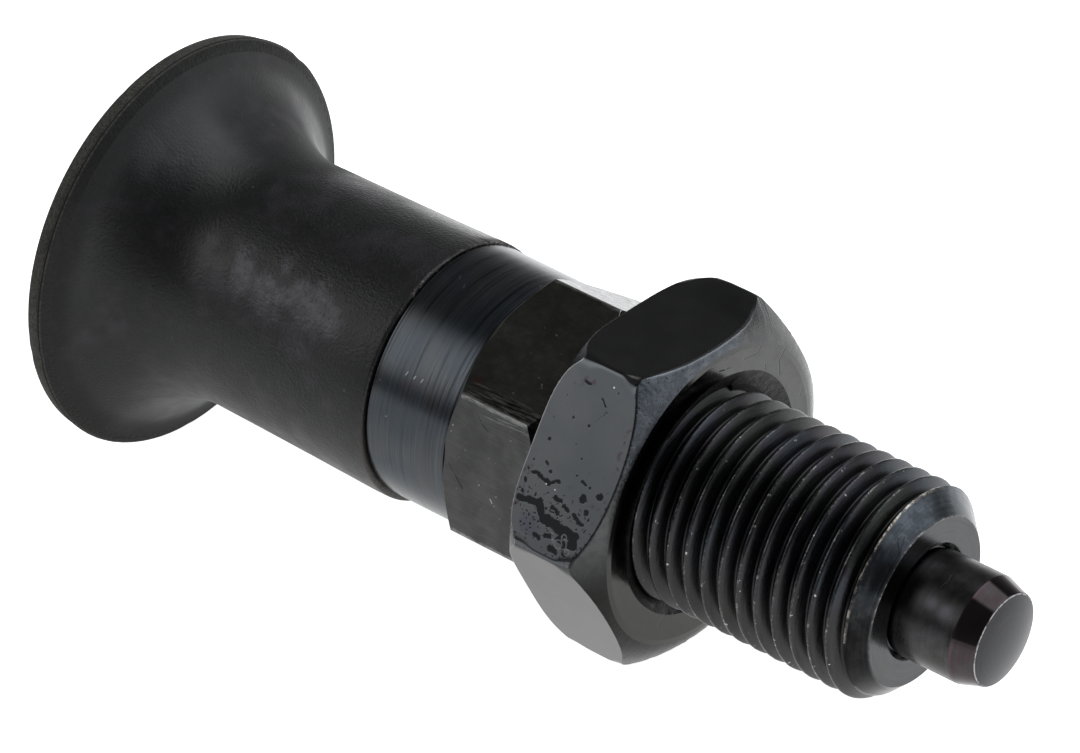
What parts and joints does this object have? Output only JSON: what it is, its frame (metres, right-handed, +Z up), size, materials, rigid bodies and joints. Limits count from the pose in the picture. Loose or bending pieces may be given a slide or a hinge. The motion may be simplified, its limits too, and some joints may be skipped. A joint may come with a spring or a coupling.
{
  "type": "indexing plunger",
  "caption": "Indexing plunger: spring-loaded locating pin in a threaded steel body with a hexagon, a lock nut and a flared black pull knob.",
  "frame": {"origin": "on the axis, at the shoulder where the body's hexagon meets the thread and the lock nut seats", "axes": "+X along the axis towards the pin's nose, +Z up with one flat of the lock nut facing straight down, +Y to the side"},
  "size_m": [0.0784, 0.032, 0.032],
  "materials": {
    "body_steel": "turned, black oxide, worn bright on the edges",
    "nut_steel": "black oxide, scratched",
    "pin_steel": "ground, black oxide, bright at the tip",
    "spring_steel": "drawn spring wire",
    "bush_brass": "turned",
    "knob_plastic": "spark-textured mould finish, matt"
  },
  "bodies": {
    "body": {"threaded_body": "body_steel", "guide_bush": "bush_brass"},
    "spring": {"return_spring": "spring_steel"},
    "plunger": {"locating_pin": "pin_steel", "pull_knob": "knob_plastic"},
    "lock_nut": {"lock_nut": "nut_steel"}
  },
  "joints": [
    {"name": "plunger_pull", "type": "slide", "parent": "body", "child": "spring", "axis": [-1, 0, 0], "range_m": [0, 0.007], "stiffness_N_per_m": 2000, "springref_m": -0.0075, "deforming": ["return_spring"]},
    {"name": "knob_turn", "type": "hinge", "parent": "spring", "child": "plunger", "pos_m": [-0.0157, 0, 0], "axis": [1, 0, 0], "continuous": true},
    {"name": "lock_nut_travel", "type": "slide", "parent": "body", "child": "lock_nut", "axis": [1, 0, 0], "range_m": [0, 0.0165]}
  ]
}
